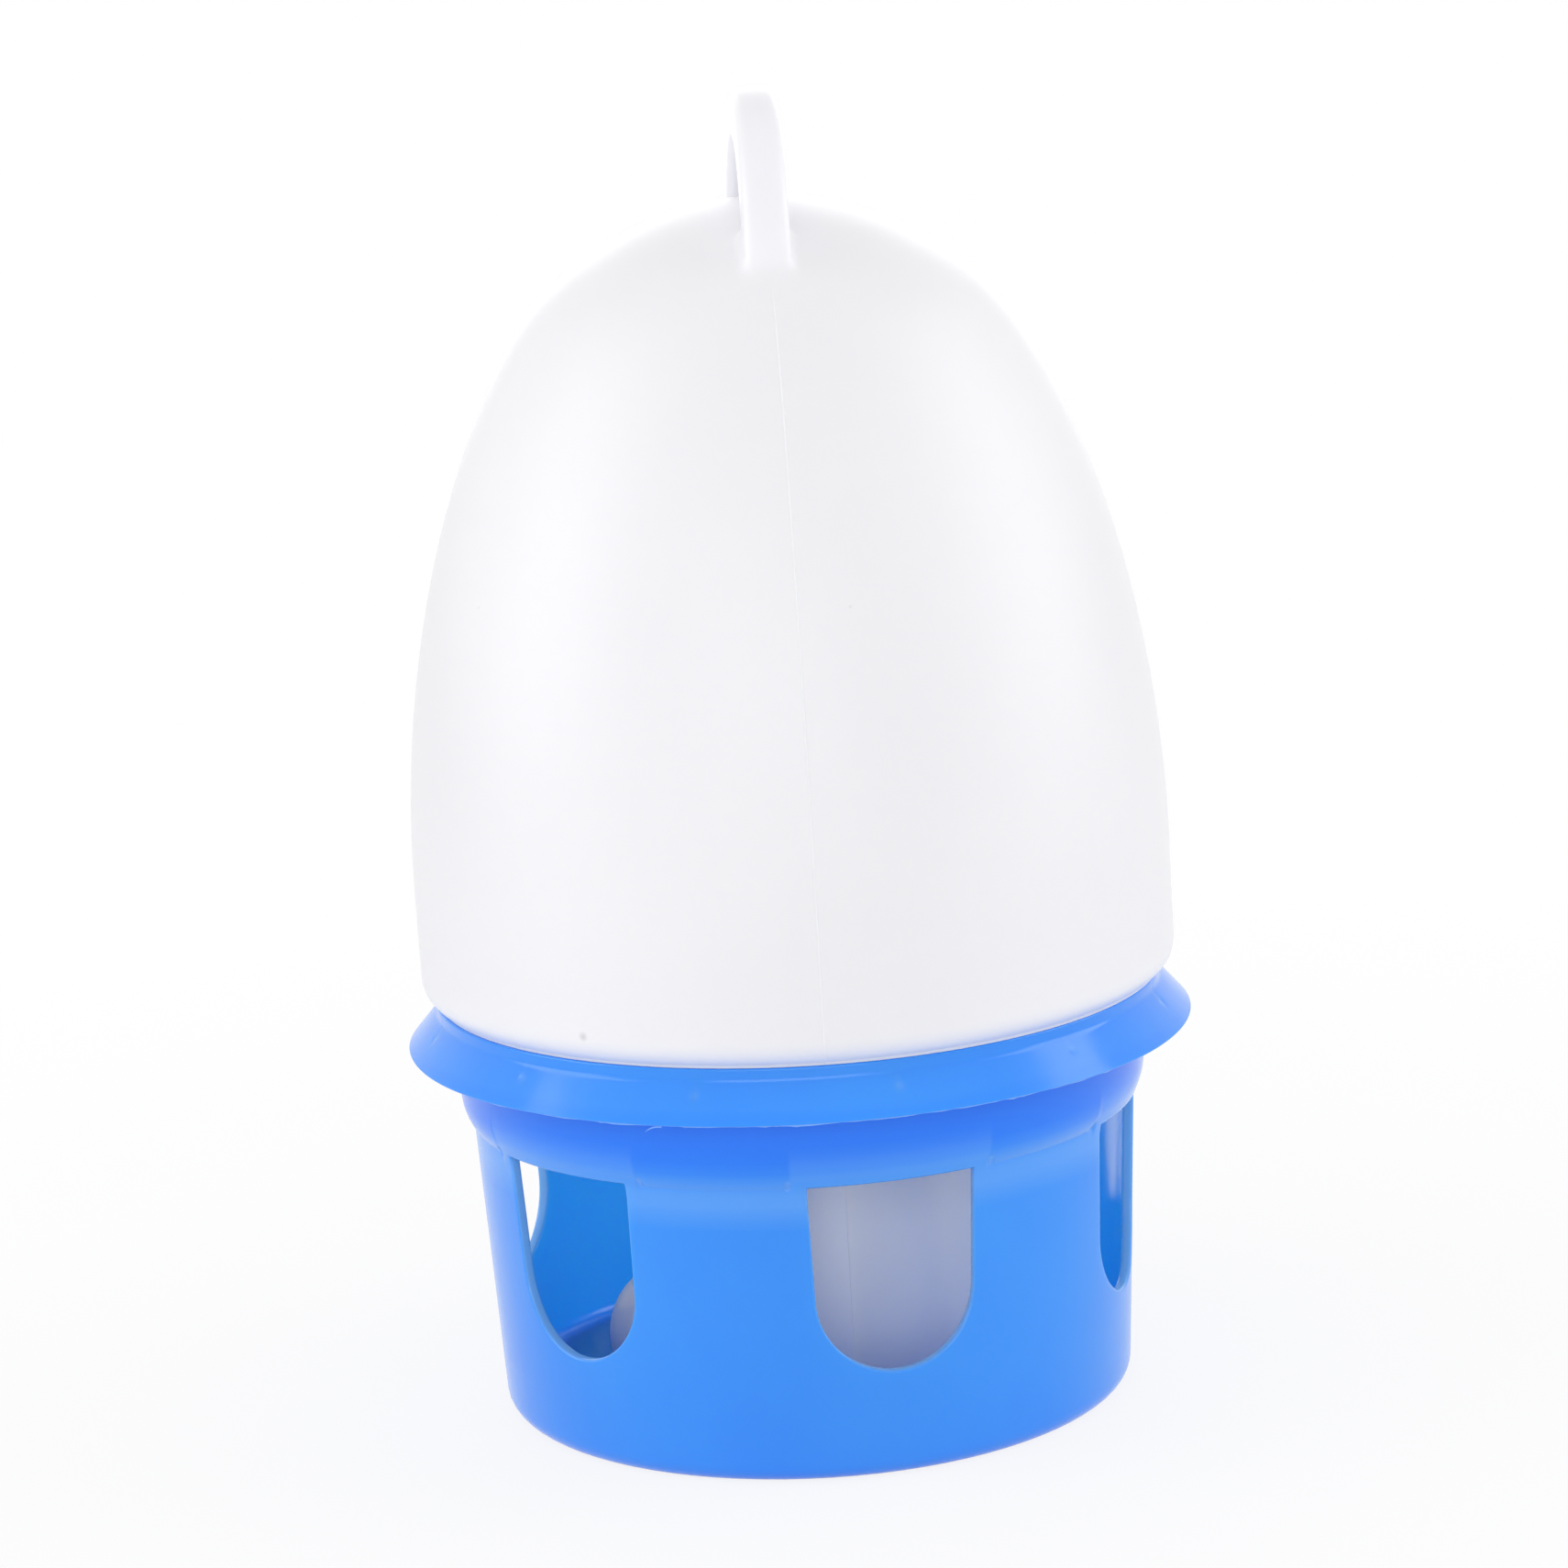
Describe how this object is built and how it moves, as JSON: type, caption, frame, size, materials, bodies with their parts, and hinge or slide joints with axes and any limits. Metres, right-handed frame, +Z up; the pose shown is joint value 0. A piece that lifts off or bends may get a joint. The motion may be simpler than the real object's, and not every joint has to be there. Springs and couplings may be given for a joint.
{
  "type": "gravity drinker for poultry and small stock",
  "caption": "Gravity drinker: a dome-shaped tank with a carrying loop stands neck down in a cup with arched drinking windows, under a sloping rain skirt.",
  "frame": {"origin": "middle of the base's underside, on the ground", "axes": "+Z up; the tank's parting plane and its carrying loop lie in the YZ plane; the side towards the viewer is -Y"},
  "size_m": [0.16, 0.16, 0.267],
  "materials": {
    "base_plastic": "glossy injection-moulded blue polypropylene, slightly see-through at its edges",
    "tank_plastic": "satin, milky, blow-moulded white polyethylene"
  },
  "bodies": {
    "base": {"drinking_cup": "base_plastic", "seat_collar": "base_plastic", "rain_skirt": "base_plastic"},
    "tank": {"tank_shell": "tank_plastic", "tank_neck": "tank_plastic", "carry_handle": "tank_plastic"}
  },
  "joints": [
    {"name": "tank_lift", "type": "slide", "parent": "base", "child": "tank", "axis": [0, 0, 1], "range_m": [0, 0.09]}
  ]
}
